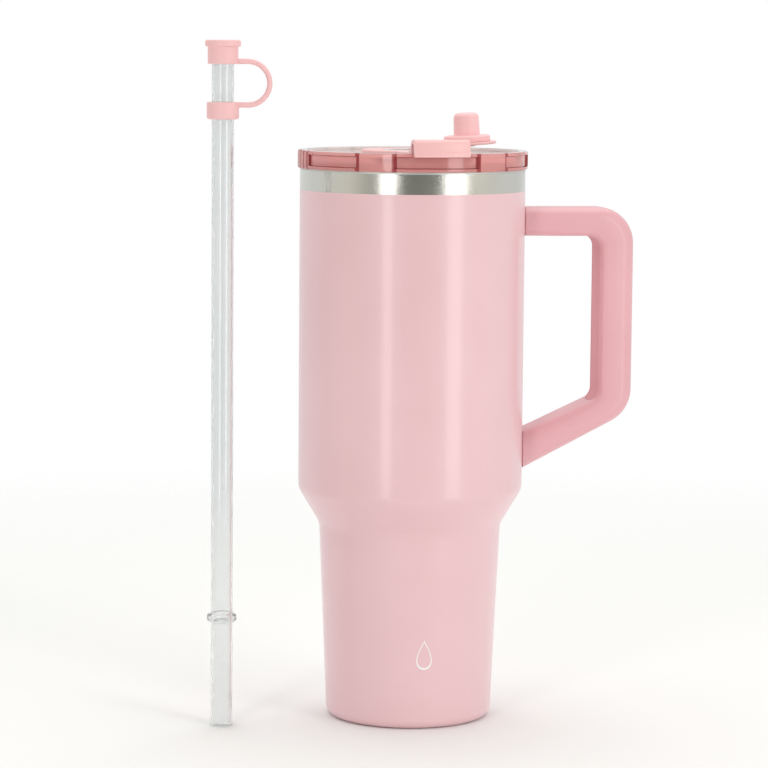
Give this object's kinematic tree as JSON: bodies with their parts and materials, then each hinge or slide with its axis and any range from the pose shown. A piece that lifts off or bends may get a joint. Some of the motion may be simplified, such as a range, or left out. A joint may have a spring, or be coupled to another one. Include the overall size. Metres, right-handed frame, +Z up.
{
  "type": "insulated tumbler",
  "caption": "Double-wall insulated tumbler with tapered base, side handle, push-in lid with rotating sip closure and flip stopper, and a capped drinking straw beside it.",
  "frame": {"origin": "centre of the base, on the surface that the tumbler stands on", "axes": "+Z up along the tumbler's axis, +X towards the handle's side, -Y towards the closure's rim tab"},
  "size_m": [0.1858, 0.1016, 0.2952],
  "materials": {
    "powder_coat": "satin pale pink powder coat over steel, bare brushed steel at the rim",
    "brushed_steel": "stainless steel brushed around the axis",
    "getter_alloy": "sintered getter pellet",
    "solder": "dull seal bead",
    "handle_plastic": "semi-gloss pink plastic",
    "soft_grip": "matt soft-touch rubber",
    "screw_steel": "plain steel",
    "lid_plastic": "translucent rose plastic",
    "clear_silicone": "translucent silicone",
    "closure_plastic": "opaque salmon pink plastic",
    "pink_silicone": "soft pink silicone",
    "straw_plastic": "clear plastic"
  },
  "bodies": {
    "tumbler": {"outer_shell": "powder_coat", "inner_liner": "brushed_steel", "base_plate": "brushed_steel", "vacuum_getter": "getter_alloy", "vacuum_seal_bead": "solder", "upper_handle_bracket": "brushed_steel", "lower_handle_bracket": "brushed_steel", "handle_frame": "handle_plastic", "handle_grip": "soft_grip", "upper_handle_screw": "screw_steel", "lower_handle_screw": "screw_steel"},
    "gasket": {"lid_gasket": "clear_silicone"},
    "lid": {"lid_shell": "lid_plastic", "straw_seal": "clear_silicone", "cover_retainer": "lid_plastic"},
    "closure": {"sip_cover": "closure_plastic", "sip_seal": "clear_silicone", "plug_hinge_pin": "screw_steel"},
    "stopper": {"plug_arm": "closure_plastic", "straw_plug": "pink_silicone"},
    "loose_straw": {"straw": "straw_plastic", "straw_cap_ring": "pink_silicone", "straw_cap_tether": "pink_silicone"},
    "cap": {"straw_cap": "pink_silicone"}
  },
  "joints": [
    {"name": "lid_lift", "type": "slide", "parent": "tumbler", "child": "gasket", "axis": [0, 0, 1], "range_m": [0, 0.08]},
    {"name": "lid_turn", "type": "hinge", "parent": "gasket", "child": "lid", "pos_m": [0, 0, 0.2405], "axis": [0, 0, 1], "continuous": true},
    {"name": "cover_turn", "type": "hinge", "parent": "lid", "child": "closure", "pos_m": [0, 0, 0.2475], "axis": [0, 0, 1], "range_deg": [-90, 0]},
    {"name": "plug_flip", "type": "hinge", "parent": "closure", "child": "stopper", "pos_m": [0.01184, 0.00295, 0.2509], "axis": [0.2419, -0.9703, 0], "range_deg": [0, 177]},
    {"name": "straw_lift", "type": "slide", "parent": "tumbler", "child": "loose_straw", "axis": [0, 0, 1], "range_m": [0, 0.12]},
    {"name": "straw_cap_pull", "type": "slide", "parent": "loose_straw", "child": "cap", "axis": [0, 0, 1], "range_m": [0, 0.012], "deforming": ["straw_cap_tether"]}
  ]
}
